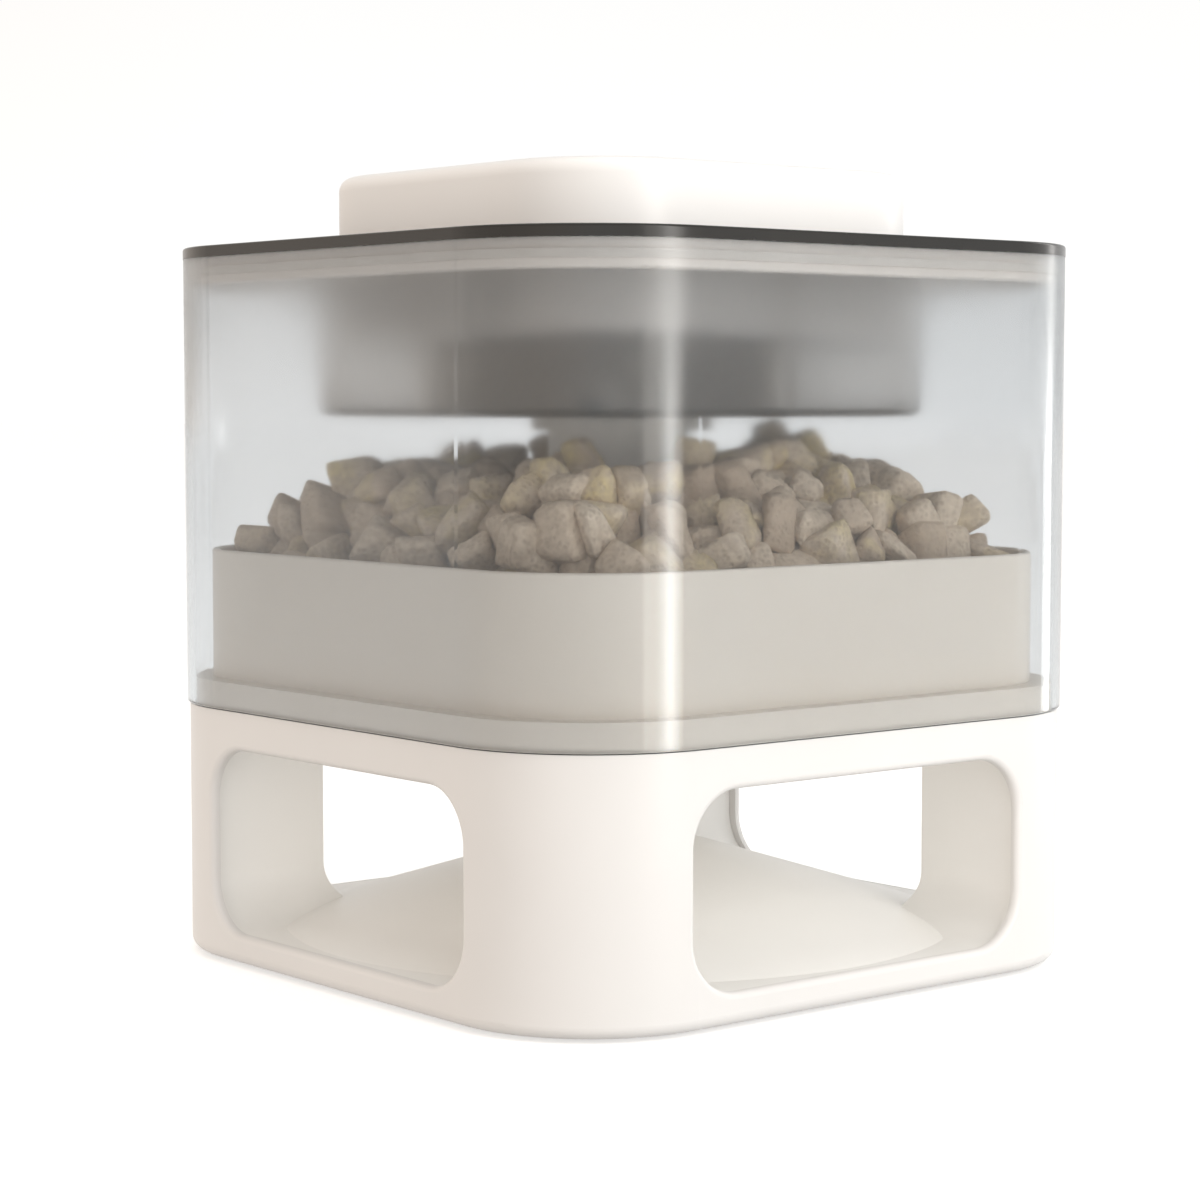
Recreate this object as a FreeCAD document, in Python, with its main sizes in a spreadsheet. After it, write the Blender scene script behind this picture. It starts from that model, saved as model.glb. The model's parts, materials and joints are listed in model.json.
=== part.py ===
import FreeCAD, Part
import math
import os
import re
import Sketcher

# A push-button pet feeder: a white base with four launch windows, a smoked
# hopper cover over a white food bowl, and a lift-off lid that carries a large
# sprung button.  The button drives a tube down through the food to a conical
# valve, which opens the bowl's outlet above a conical ramp.
# Millimetres, +Z up, origin at the centre of the surface the feet stand on.

os.makedirs("parts", exist_ok=True)
doc = FreeCAD.newDocument("pet_feeder")
Vector = FreeCAD.Vector

# ---------------------------------------------------------------- dimensions

DIMENSIONS = [
    # outline
    ("shell_half", 89.5), ("shell_corner", 38.1), ("shell_wall", 2.4),
    ("shell_bottom_z", 0.8), ("shell_top_z", 64.0), ("shell_floor_z", 4.0),
    ("shell_rim", 5.5), ("shell_bottom_round", 3.0), ("edge_round", 0.4),
    ("sliding_gap", 0.1), ("insert_gap", 0.1),
    # windows and the chute behind them
    ("window_half", 52.2), ("window_low_z", 8.4), ("window_high_z", 54.4),
    ("window_corner", 13.0), ("window_round", 1.6),
    ("chute_half", 54.5), ("chute_corner", 13.0), ("chute_skin", 2.2),
    ("cone_apex_z", 35.0), ("cone_slope", 0.312),
    ("deck_thick", 3.0),
    # corner columns, screws and feet
    ("column_place", 71.0), ("column_radius", 4.3), ("column_web", 2.6),
    ("web_near", 73.0), ("web_far", 77.2), ("merge", 0.5),
    ("screw_radius", 1.5), ("screw_head_radius", 2.9), ("screw_head_tall", 1.7),
    ("screw_socket_radius", 1.4), ("screw_socket_deep", 1.0),
    ("base_screw_long", 14.0), ("deck_screw_long", 13.0),
    ("bowl_screw_long", 10.0), ("tower_screw_long", 4.3), ("cap_screw_long", 6.4),
    ("foot_place", 60.0), ("foot_radius", 9.0), ("foot_tall", 2.0),
    ("stand_half_long", 22.0), ("stand_wide", 5.0), ("stand_place", 77.0),
    # outlet, bowl
    ("outlet_radius", 33.6), ("collar_wall", 2.8), ("collar_top_z", 62.0),
    ("collar_flange", 5.6), ("collar_flange_thick", 2.0),
    ("bowl_half", 82.5), ("bowl_corner", 31.0), ("bowl_wall", 2.0),
    ("bowl_rim_z", 103.3), ("bowl_flange_z", 71.0), ("bowl_flange_thick", 2.2),
    ("bowl_skirt_half", 87.9), ("bowl_skirt_corner", 36.5), ("bowl_skirt_wall", 2.0),
    ("funnel_slope", 0.42), ("funnel_skin", 2.4),
    ("bowl_boss_place", 45.0), ("bowl_boss_radius", 4.2), ("bowl_boss_top_z", 71.5),
    ("bowl_rim_round", 0.7),
    # hopper cover
    ("cover_half", 90.2), ("cover_corner", 38.8), ("cover_wall", 2.0),
    ("cover_bottom_z", 64.3), ("cover_top_z", 176.4), ("gasket_wide", 0.8),
    # lid
    ("lid_half", 90.3), ("lid_corner", 38.9), ("lid_thick", 2.8), ("lid_round", 0.7),
    ("lid_hole_half", 60.6), ("lid_hole_corner", 30.4),
    ("frame_half", 86.9), ("frame_corner", 35.5), ("frame_thick", 4.0),
    ("frame_lip_low_z", 169.6), ("frame_lip_wide", 2.6), ("frame_lip_round", 0.8),
    ("seal_half", 87.85), ("seal_corner", 36.45), ("seal_low_z", 172.0), ("seal_tall", 2.0),
    # well of the button
    ("well_half", 63.0), ("well_corner", 33.0), ("well_wall", 2.0),
    ("well_bottom_z", 137.0), ("well_floor", 2.2), ("well_flange_half", 70.0),
    ("well_flange_thick", 1.5), ("well_bottom_round", 2.4), ("well_hole_radius", 21.0),
    ("guide_bump_deep", 1.7), ("guide_bump_half", 2.5),
    # guide tower in the well
    ("tower_top_z", 155.0), ("tower_radius", 27.5), ("tower_wall_radius", 22.5),
    ("tower_flange_radius", 34.0), ("tower_flange_thick", 2.5),
    ("tower_head_thick", 2.5), ("tower_rib_reach", 55.4), ("tower_rib_thick", 2.2),
    ("tower_screw_place", 21.4),
    ("pad_place", 49.7), ("pad_radius", 2.4), ("pad_tall", 1.8),
    # button
    ("button_half", 58.75), ("button_corner", 28.25), ("button_wall", 2.2),
    ("button_low_z", 157.0), ("button_top_z", 197.0), ("button_roof", 2.5),
    ("button_round", 3.6), ("button_inner_round", 1.6),
    ("button_boss_wall", 3.0), ("button_boss_low_z", 186.0),
    ("button_rib_low_z", 188.0), ("button_rib_thick", 2.2),
    ("button_boss_roof_z", 192.0),
    ("cap_screw_place", 9.5),
    # push tube and what rides on it
    ("tube_radius", 18.5), ("tube_wall", 2.3), ("tube_web", 3.0), ("tube_low_web_z", 66.0),
    ("running_gap", 0.05),
    ("stop_ring_radius", 23.0), ("stop_ring_tall", 3.4), ("stop_ring_gap", 0.1),
    ("agitator_wall", 1.8), ("agitator_low_z", 68.0), ("agitator_tall", 24.0),
    ("agitator_reach", 30.0), ("agitator_thick", 2.4),
    ("valve_radius", 31.0), ("valve_rim_z", 54.4), ("valve_rim_tall", 2.9),
    ("valve_seal_radius", 33.2), ("seal_tongue", 1.5), ("seal_tongue_tall", 1.1),
    ("valve_bolt_radius", 2.0), ("valve_bolt_head", 3.8), ("valve_bolt_head_tall", 2.4),
    ("nut_radius", 3.9), ("nut_tall", 3.2),
    # return spring
    ("spring_radius", 24.4), ("spring_wire", 1.1), ("spring_turns", 4.5),
    ("washer_thick", 1.2), ("washer_inner", 21.8), ("washer_outer", 27.2),
]

sheet = doc.addObject("Spreadsheet::Sheet", "Dims")
for row, (alias, number) in enumerate(DIMENSIONS, start=1):
    sheet.set("A%d" % row, alias.replace("_", " "))
    sheet.set("B%d" % row, str(number))
    sheet.setAlias("B%d" % row, alias)
doc.recompute()

# Sizes that follow from the driving ones, written as sheet formulas.
DERIVED = [
    ("shell_inner_half", "=shell_half - shell_wall"),
    ("shell_inner_corner", "=shell_corner - shell_wall"),
    ("opening_half", "=shell_half - shell_rim"),
    ("opening_corner", "=shell_corner - shell_rim"),
    ("plate_half", "=opening_half - sliding_gap"),
    ("plate_corner", "=opening_corner - sliding_gap"),
    ("insert_half", "=shell_inner_half - insert_gap"),
    ("insert_corner", "=shell_inner_corner - insert_gap"),
    ("deck_top_z", "=window_high_z + deck_thick"),
    ("cone_radius", "=cone_apex_z / cone_slope"),
    ("collar_radius", "=outlet_radius + collar_wall"),
    ("funnel_radius", "=collar_radius + 0.2"),
    ("cover_inner_half", "=cover_half - cover_wall"),
    ("cover_inner_corner", "=cover_corner - cover_wall"),
    ("well_floor_z", "=well_bottom_z + well_floor"),
    ("well_flange_corner", "=well_corner + well_flange_half - well_half"),
    ("funnel_reach", "=1.2 * shell_half"),
    ("well_inner_half", "=well_half - well_wall"),
    ("well_inner_corner", "=well_corner - well_wall"),
    ("well_flange_z", "=cover_top_z - well_flange_thick"),
    ("frame_low_z", "=cover_top_z - frame_thick"),
    ("button_inner_half", "=button_half - button_wall"),
    ("button_inner_corner", "=button_corner - button_wall"),
    ("button_roof_z", "=button_top_z - button_roof"),
    ("tube_inner", "=tube_radius - tube_wall"),
    ("bush_radius", "=tube_radius + running_gap"),
    ("valve_shoulder_z",
     "=valve_rim_z + valve_rim_tall + (valve_radius - tube_radius) * cone_slope"),
    ("valve_hollow_z", "=valve_rim_z + valve_radius * cone_slope"),
    ("stop_ring_z", "=well_bottom_z - stop_ring_gap - stop_ring_tall"),
    ("washer_z", "=button_rib_low_z - washer_thick"),
    ("spring_low_z", "=tower_top_z + spring_wire"),
    ("spring_tall", "=washer_z - tower_top_z - 2 * spring_wire"),
]
for row, (alias, formula) in enumerate(DERIVED, start=len(DIMENSIONS) + 1):
    sheet.set("A%d" % row, alias.replace("_", " "))
    sheet.set("B%d" % row, formula)
    sheet.setAlias("B%d" % row, alias)
doc.recompute()


def dim(expression):
    """Write an expression on the sheet's aliases in the form the document reads."""
    return re.sub(r"[a-z][a-z_]+", lambda word: "Dims." + word.group(0), str(expression))


def size(expression):
    """The present value of an expression, in millimetres."""
    return float(sheet.evalExpression(dim(expression)))


# ------------------------------------------------------------------ sketches

def new_body(label):
    body = doc.addObject("PartDesign::Body", label)
    body.Label = label
    return body


def new_sketch(body, role="XY_Plane", offset="0"):
    """A sketch on one of the body's own origin planes, moved along its normal."""
    sketch = body.newObject("Sketcher::SketchObject", body.Name + "_sketch")
    plane = [item for item in body.Origin.OriginFeatures if item.Role == role][0]
    sketch.AttachmentSupport = [(plane, "")]
    sketch.MapMode = "FlatFace"
    sketch.setExpression("AttachmentOffset.Base.z", dim(offset))
    return sketch


def pin(sketch, element, point, across, up):
    """Bind one point of a sketch to two expressions measured from its origin."""
    for kind, expression in (("DistanceX", across), ("DistanceY", up)):
        value = size(expression)
        if abs(value) < 1e-9:
            axis = -2 if kind == "DistanceX" else -1
            sketch.addConstraint(Sketcher.Constraint("PointOnObject", element, point, axis))
            continue
        index = sketch.addConstraint(
            Sketcher.Constraint(kind, -1, 1, element, point, value))
        sketch.setExpression("Constraints[%d]" % index, dim(expression))


def polygon(sketch, corners):
    """A closed outline of straight edges; every corner is pinned."""
    points = [Vector(size(across), size(up), 0) for across, up in corners]
    first = len(sketch.Geometry)
    count = len(points)
    for index in range(count):
        sketch.addGeometry(Part.LineSegment(points[index], points[(index + 1) % count]))
    for index in range(count):
        following = first + (index + 1) % count
        sketch.addConstraint(
            Sketcher.Constraint("Coincident", first + index, 2, following, 1))
    for index, (across, up) in enumerate(corners):
        pin(sketch, first + index, 1, across, up)


def rounded_rectangle(sketch, half_wide, half_tall, corner, middle_up="0"):
    """A rectangle with four equal round corners, centred on the up axis."""
    wide, tall, radius, middle = (size(text) for text in
                                  (half_wide, half_tall, corner, middle_up))
    centres = [(wide - radius, radius - tall), (wide - radius, tall - radius),
               (radius - wide, tall - radius), (radius - wide, radius - tall)]
    first = len(sketch.Geometry)
    quarter = 1.5707963267948966
    for index, (across, up) in enumerate(centres):
        circle = Part.Circle(Vector(across, up + middle, 0), Vector(0, 0, 1), radius)
        start = (index - 1) * quarter
        sketch.addGeometry(Part.ArcOfCircle(circle, start, start + quarter))
    for index in range(4):
        leave = sketch.getPoint(first + index, 2)
        arrive = sketch.getPoint(first + (index + 1) % 4, 1)
        sketch.addGeometry(Part.LineSegment(leave, arrive))
    for index in range(4):
        edge = first + 4 + index
        after = first + (index + 1) % 4
        sketch.addConstraint(Sketcher.Constraint("Tangent", first + index, 2, edge, 1))
        sketch.addConstraint(Sketcher.Constraint("Tangent", edge, 2, after, 1))
        straight = "Horizontal" if index % 2 else "Vertical"
        sketch.addConstraint(Sketcher.Constraint(straight, edge))
    for index in range(1, 4):
        sketch.addConstraint(Sketcher.Constraint("Equal", first, first + index))
    bound = [
        (Sketcher.Constraint("Radius", first, radius), corner),
        (Sketcher.Constraint("DistanceX", -1, 1, first + 4, 1, wide), half_wide),
        (Sketcher.Constraint("DistanceY", -1, 1, first + 5, 1, middle + tall),
         "%s + %s" % (middle_up, half_tall)),
        (Sketcher.Constraint("DistanceX", first + 6, 1, -1, 1, wide), half_wide),
        (Sketcher.Constraint("DistanceY", -1, 1, first + 7, 1, middle - tall),
         "%s - (%s)" % (middle_up, half_tall)),
    ]
    for constraint, expression in bound:
        index = sketch.addConstraint(constraint)
        sketch.setExpression("Constraints[%d]" % index, dim(expression))


def rounded_square(sketch, half, corner):
    rounded_rectangle(sketch, half, half, corner)


def circle(sketch, radius, across="0", up="0"):
    centre = Vector(size(across), size(up), 0)
    element = sketch.addGeometry(Part.Circle(centre, Vector(0, 0, 1), size(radius)))
    pin(sketch, element, 3, across, up)
    index = sketch.addConstraint(Sketcher.Constraint("Radius", element, size(radius)))
    sketch.setExpression("Constraints[%d]" % index, dim(radius))


def corners_of(place):
    """The four places (+-place, +-place), as pairs of expressions."""
    return [("%s(%s)" % (across, place), "%s(%s)" % (up, place))
            for across in ("", "-") for up in ("", "-")]


# ------------------------------------------------------------------ features

def pad(body, sketch, tall, down=False, middle=False):
    feature = body.newObject("PartDesign::Pad", body.Name + "_pad")
    feature.Profile = sketch
    feature.Reversed = down
    if middle:
        feature.SideType = "Symmetric"
    feature.setExpression("Length", dim(tall))
    sketch.Visibility = False
    doc.recompute()
    return feature


def pocket(body, sketch, deep, up=False, middle=False):
    """Cut a sketch out of the body: downwards unless up is set."""
    before = body.Shape.Volume
    feature = body.newObject("PartDesign::Pocket", body.Name + "_pocket")
    feature.Profile = sketch
    feature.Reversed = up
    if middle:
        feature.SideType = "Symmetric"
    feature.setExpression("Length", dim(deep))
    doc.recompute()
    if body.Shape.Volume > before - 1e-3:
        raise RuntimeError("pocket cuts nothing: " + feature.Name)
    return feature


def turn(body, sketch, cut=False):
    """Turn a sketch on the XZ plane once round the Z axis."""
    kind = "PartDesign::Groove" if cut else "PartDesign::Revolution"
    before = body.Shape.Volume if cut else 0
    feature = body.newObject(kind, body.Name + "_turned")
    feature.Profile = sketch
    feature.ReferenceAxis = (sketch, ["V_Axis"])
    feature.Angle = 360
    doc.recompute()
    if cut and body.Shape.Volume > before - 1e-3:
        raise RuntimeError("groove cuts nothing: " + feature.Name)
    return feature


def fillet(body, radius, wanted):
    """Round every edge of the body for which wanted(box) is true."""
    base = body.Tip
    names = ["Edge%d" % number for number, edge in enumerate(base.Shape.Edges, start=1)
             if wanted(edge.BoundBox)]
    if not names:
        raise RuntimeError("no edge to round on " + body.Name)
    feature = body.newObject("PartDesign::Fillet", body.Name + "_round")
    feature.Base = (base, names)
    feature.setExpression("Radius", dim(radius))
    doc.recompute()
    return feature


def level(height):
    """A test for edges that lie wholly at one height."""
    z = size(height)
    return lambda box: abs(box.ZMin - z) < 1e-4 and abs(box.ZMax - z) < 1e-4


def outer_level(height, reach):
    """A test for edges at one height that keep to the outline at a given reach."""
    flat = level(height)
    far = size(reach)

    def wanted(box):
        return flat(box) and max(-box.XMin, box.XMax, -box.YMin, box.YMax) > far - 0.1
    return wanted


def square_pad(body, half, corner, low, high, hole=None, hole_corner=None):
    """Pad a rounded square, with an optional rounded-square hole, between two heights."""
    sketch = new_sketch(body, offset=low)
    rounded_square(sketch, half, corner)
    if hole:
        rounded_square(sketch, hole, hole_corner)
    return pad(body, sketch, "%s - (%s)" % (high, low))


def square_pocket(body, half, corner, low, high):
    sketch = new_sketch(body, offset=high)
    rounded_square(sketch, half, corner)
    return pocket(body, sketch, "%s - (%s)" % (high, low))


def round_pad(body, places, radius, low, high, hole=None):
    sketch = new_sketch(body, offset=low)
    for across, up in places:
        circle(sketch, radius, across, up)
        if hole:
            circle(sketch, hole, across, up)
    return pad(body, sketch, "%s - (%s)" % (high, low))


def round_pocket(body, places, radius, low, high):
    sketch = new_sketch(body, offset=high)
    for across, up in places:
        circle(sketch, radius, across, up)
    return pocket(body, sketch, "%s - (%s)" % (high, low))


def turned(label, corners):
    """A body turned from an outline of (radius, height) corners."""
    body = new_body(label)
    sketch = new_sketch(body, role="XZ_Plane")
    polygon(sketch, corners)
    turn(body, sketch)
    return body


def box_corners(left, right, low, high):
    return [(left, low), (right, low), (right, high), (left, high)]


# ----------------------------------------------------------- plain primitives

def cylinder(name, radius, tall, place):
    """A Part cylinder standing on place, which is three expressions."""
    item = doc.addObject("Part::Cylinder", name)
    item.setExpression("Radius", dim(radius))
    item.setExpression("Height", dim(tall))
    put(item, place)
    return item


def put(item, place):
    for axis, expression in zip("xyz", place):
        item.setExpression("Placement.Base." + axis, dim(expression))


def fused(name, pieces):
    item = doc.addObject("Part::MultiFuse", name)
    item.Shapes = pieces
    return item


def cut(name, base, tool):
    item = doc.addObject("Part::Cut", name)
    item.Base = base
    item.Tool = tool
    return item


def common(name, base, tool):
    item = doc.addObject("Part::Common", name)
    item.Base = base
    item.Tool = tool
    return item


def group(label, pieces):
    """Several equal solids under one label."""
    item = doc.addObject("Part::Compound", label)
    item.Label = label
    item.Links = pieces
    return item


def screw(name, place, length, head_up=True):
    """A socket-head screw whose head sits on place, with its shank pointing away."""
    across, up, seat = place
    head_low = seat if head_up else "%s - screw_head_tall" % seat
    shank_low = "%s - (%s)" % (seat, length) if head_up else seat
    socket_low = ("%s + screw_head_tall - screw_socket_deep" % seat if head_up
                  else "%s - screw_head_tall" % seat)
    head = cylinder(name + "_head", "screw_head_radius", "screw_head_tall",
                    (across, up, head_low))
    shank = cylinder(name + "_shank", "screw_radius", length, (across, up, shank_low))
    socket = doc.addObject("Part::Prism", name + "_socket")
    socket.Polygon = 6
    socket.setExpression("Circumradius", dim("screw_socket_radius"))
    socket.setExpression("Height", dim("screw_socket_deep"))
    put(socket, (across, up, socket_low))
    solid = fused(name + "_solid", [head, shank])
    return cut(name, solid, socket)


def screws(label, places, seat, length, head_up=True):
    pieces = [screw("%s_%d" % (label, number), (across, up, seat), length, head_up)
              for number, (across, up) in enumerate(places, start=1)]
    return group(label, pieces)


# Cosines and sines of the sixths and thirds of a circle, as expressions.
SIXTHS = [("1", "0"), ("0.5", "0.8660254"), ("(-0.5)", "0.8660254"),
          ("(-1)", "0"), ("(-0.5)", "(-0.8660254)"), ("0.5", "(-0.8660254)")]
THIRDS = SIXTHS[::2]
columns = corners_of("column_place")
pilot = "screw_radius + 0.1"
head_room = "screw_head_radius + 0.3"


# ---------------------------------------------------------------------- base

def base_shell():
    """The white outer wall of the base: four windows and four corner columns."""
    body = new_body("base_shell")
    square_pad(body, "shell_half", "shell_corner", "shell_bottom_z", "shell_top_z")
    square_pocket(body, "opening_half", "opening_corner", "shell_bottom_z", "shell_floor_z")
    square_pocket(body, "shell_inner_half", "shell_inner_corner",
                  "shell_floor_z", "shell_top_z")
    fillet(body, "shell_bottom_round", outer_level("shell_bottom_z", "shell_half"))
    for role in ("XZ_Plane", "YZ_Plane"):
        sketch = new_sketch(body, role=role)
        rounded_rectangle(sketch, "window_half", "(window_high_z - window_low_z) / 2",
                          "window_corner", "(window_high_z + window_low_z) / 2")
        pocket(body, sketch, "4 * shell_half", middle=True)
    reach = size("shell_half")
    low = size("window_low_z") - 1
    high = size("window_high_z") + 1

    def rim(box):
        near_x = box.XLength < 0.3 and abs(abs(box.Center.x) - reach) < 0.3
        near_y = box.YLength < 0.3 and abs(abs(box.Center.y) - reach) < 0.3
        return (near_x or near_y) and box.ZMin > low and box.ZMax < high

    fillet(body, "window_round", rim)
    columns_tops = new_sketch(body, offset="shell_floor_z")
    for across, up in columns:
        circle(columns_tops, "column_radius", across, up)
    pad(body, columns_tops, "window_high_z - shell_floor_z")
    webs = new_sketch(body, offset="shell_floor_z")
    near = "web_near"
    far = "web_far"
    half = "column_web / 2"
    for across in ("", "-"):
        for up in ("", "-"):
            polygon(webs, [("%s(%s)" % (across, place), "%s(%s)" % (up, other))
                           for place, other in (
                               ("%s + %s" % (near, half), "%s - %s" % (near, half)),
                               ("%s + %s" % (far, half), "%s - %s" % (far, half)),
                               ("%s - %s" % (far, half), "%s + %s" % (far, half)),
                               ("%s - %s" % (near, half), "%s + %s" % (near, half)))])
    pad(body, webs, "window_high_z - shell_floor_z")
    round_pocket(body, columns, pilot, "shell_floor_z", "shell_floor_z + base_screw_long")
    round_pocket(body, columns, pilot, "window_high_z - deck_screw_long", "window_high_z")
    return body


def chute_profile(name, role, grow):
    """One straight tunnel with round lower corners, as a body through the base."""
    body = new_body(name)
    sketch = new_sketch(body, role=role)
    half = "(chute_half + %s)" % grow
    low = "(window_low_z - %s)" % grow
    top = "(window_high_z + 40)"
    rounded_rectangle(sketch, half, "(%s - %s) / 2" % (top, low),
                      "(chute_corner + %s)" % grow, "(%s + %s) / 2" % (top, low))
    pad(body, sketch, "4 * shell_half", middle=True)
    return body


def chute_space(name, grow):
    """The room of both crossing tunnels above the conical floor."""
    tunnels = fused(name + "_tunnels", [chute_profile(name + "_x", "YZ_Plane", grow),
                                        chute_profile(name + "_y", "XZ_Plane", grow)])
    cone = doc.addObject("Part::Cone", name + "_cone")
    cone.setExpression("Radius1", dim("cone_radius"))
    cone.setExpression("Height", dim("cone_apex_z"))
    cone.Radius2 = 0
    put(cone, ("0", "0", "-(%s)" % grow))
    return cut(name, tunnels, cone)


def launch_ramp():
    """The conical floor under the outlet and the walls of the four chutes."""
    block = new_body("ramp_block")
    square_pad(block, "insert_half", "insert_corner",
               "window_low_z - chute_skin", "window_high_z")
    skin = common("ramp_skin", block, chute_space("ramp_outer", "chute_skin"))
    ramp = cut("launch_ramp", skin, chute_space("ramp_inner", "0"))
    ramp.Label = "launch_ramp"
    return ramp


def chute_deck():
    """The ceiling of the chutes, with the outlet's seat in its middle."""
    body = new_body("chute_deck")
    square_pad(body, "insert_half", "insert_corner", "window_high_z", "deck_top_z")
    round_pocket(body, [("0", "0")], "collar_radius + 0.1", "window_high_z", "deck_top_z")
    round_pocket(body, columns, pilot, "window_high_z", "deck_top_z")
    bosses = corners_of("bowl_boss_place")
    round_pocket(body, bosses, pilot, "window_high_z", "deck_top_z")
    round_pocket(body, bosses, head_room, "window_high_z",
                 "window_high_z + screw_head_tall")
    return body


def base_plate():
    """The closing plate under the base, with stands for the ramp."""
    body = new_body("base_plate")
    square_pad(body, "plate_half", "plate_corner", "shell_bottom_z", "shell_floor_z")
    stands = new_sketch(body, offset="shell_floor_z")
    for flip in ("", "-"):
        long_x = box_corners("-stand_half_long", "stand_half_long",
                             "%s(stand_place)" % flip, "%s(stand_place + stand_wide)" % flip)
        polygon(stands, long_x)
        polygon(stands, [(up, across) for across, up in long_x])
    pad(body, stands, "window_low_z - chute_skin - shell_floor_z")
    round_pocket(body, columns, pilot, "shell_bottom_z", "shell_floor_z")
    round_pocket(body, columns, head_room, "shell_bottom_z",
                 "shell_bottom_z + screw_head_tall")
    round_pocket(body, corners_of("foot_place"), "foot_radius + 0.1",
                 "shell_bottom_z", "foot_tall")
    return body


def feet():
    pieces = [cylinder("foot_%d" % number, "foot_radius", "foot_tall", (across, up, "0"))
              for number, (across, up) in enumerate(corners_of("foot_place"), start=1)]
    return group("feet", pieces)


def outlet_collar():
    """The ring that the conical valve closes."""
    return turned("outlet_collar", [
        ("outlet_radius", "window_high_z"), ("collar_radius", "window_high_z"),
        ("collar_radius", "deck_top_z"), ("collar_radius + collar_flange", "deck_top_z"),
        ("collar_radius + collar_flange", "deck_top_z + collar_flange_thick"),
        ("collar_radius", "deck_top_z + collar_flange_thick"),
        ("collar_radius", "collar_top_z"), ("outlet_radius", "collar_top_z")])


def food_bowl():
    """The white bowl: upright wall, conical funnel, and a skirt that seats the cover."""
    reach = "funnel_reach"
    rise = "(funnel_reach - funnel_radius) * funnel_slope"
    funnel = turned("bowl_funnel", [
        ("funnel_radius", "collar_top_z - funnel_skin"),
        (reach, "collar_top_z - funnel_skin + " + rise),
        (reach, "collar_top_z + " + rise), ("funnel_radius", "collar_top_z")])
    block = new_body("bowl_block")
    square_pad(block, "bowl_half", "bowl_corner", "window_high_z", "bowl_rim_z")
    floor = common("bowl_floor", funnel, block)
    wall = new_body("bowl_wall_ring")
    square_pad(wall, "bowl_half", "bowl_corner", "bowl_flange_z - bowl_flange_thick",
               "bowl_rim_z", "bowl_half - bowl_wall", "bowl_corner - bowl_wall")
    square_pad(wall, "bowl_skirt_half", "bowl_skirt_corner",
               "bowl_flange_z - bowl_flange_thick", "bowl_flange_z",
               "bowl_half - bowl_wall", "bowl_corner - bowl_wall")
    square_pad(wall, "bowl_skirt_half", "bowl_skirt_corner", "shell_top_z", "bowl_flange_z",
               "bowl_skirt_half - bowl_skirt_wall", "bowl_skirt_corner - bowl_skirt_wall")
    fillet(wall, "bowl_rim_round", level("bowl_rim_z"))
    bosses = new_body("bowl_bosses")
    round_pad(bosses, corners_of("bowl_boss_place"), "bowl_boss_radius", "deck_top_z",
              "bowl_boss_top_z", hole=pilot)
    bowl = fused("food_bowl", [floor, wall, bosses])
    bowl.Label = "food_bowl"
    return bowl


def hopper_cover():
    """The smoked square sleeve round the food."""
    body = new_body("hopper_cover")
    square_pad(body, "cover_half", "cover_corner", "cover_bottom_z", "cover_top_z",
               "cover_inner_half", "cover_inner_corner")
    fillet(body, "edge_round", outer_level("cover_bottom_z", "cover_half"))
    return body


def cover_gasket():
    body = new_body("cover_gasket")
    square_pad(body, "cover_inner_half + gasket_wide", "cover_inner_corner + gasket_wide",
               "shell_top_z", "cover_bottom_z", "cover_inner_half", "cover_inner_corner")
    return body


# ----------------------------------------------------------------------- lid

def lid_plate():
    """The smoked top plate, open in the middle for the button."""
    body = new_body("lid_plate")
    square_pad(body, "lid_half", "lid_corner", "cover_top_z", "cover_top_z + lid_thick",
               "lid_hole_half", "lid_hole_corner")
    fillet(body, "lid_round", level("cover_top_z + lid_thick"))
    return body


def lid_frame():
    """The white frame under the plate, with a lip that centres the lid in the cover."""
    body = new_body("lid_frame")
    square_pad(body, "frame_half", "frame_corner", "frame_low_z", "cover_top_z",
               "well_half + sliding_gap", "well_corner + sliding_gap")
    square_pocket(body, "well_flange_half + sliding_gap", "well_flange_corner + sliding_gap",
                  "well_flange_z", "cover_top_z")
    square_pad(body, "frame_half", "frame_corner", "frame_lip_low_z", "frame_low_z",
               "frame_half - frame_lip_wide", "frame_corner - frame_lip_wide")
    fillet(body, "frame_lip_round", level("frame_lip_low_z"))
    return body


def lid_seal():
    body = new_body("lid_seal")
    square_pad(body, "seal_half", "seal_corner", "seal_low_z", "seal_low_z + seal_tall",
               "frame_half", "frame_corner")
    return body


def button_well():
    """The smoked cup that the button sinks into."""
    body = new_body("button_well")
    square_pad(body, "well_half", "well_corner", "well_bottom_z", "well_flange_z")
    square_pad(body, "well_flange_half", "well_flange_corner", "well_flange_z", "cover_top_z")
    square_pocket(body, "well_inner_half", "well_inner_corner", "well_floor_z",
                  "cover_top_z")
    fillet(body, "well_bottom_round", outer_level("well_bottom_z", "well_half"))
    bumps = new_sketch(body, offset="well_floor_z")
    near = "well_inner_half - guide_bump_deep"
    far = "well_inner_half + well_wall / 2"
    for flip in ("", "-"):
        side = box_corners("-guide_bump_half", "guide_bump_half",
                           "%s(%s)" % (flip, near), "%s(%s)" % (flip, far))
        polygon(bumps, side)
        polygon(bumps, [(up, across) for across, up in side])
    pad(body, bumps, "well_flange_z - well_floor_z - 3")
    round_pocket(body, [("0", "0")], "well_hole_radius", "well_bottom_z", "well_floor_z")
    round_pocket(body, corners_of("tower_screw_place"), pilot,
                 "well_bottom_z", "well_floor_z")
    return body


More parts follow.
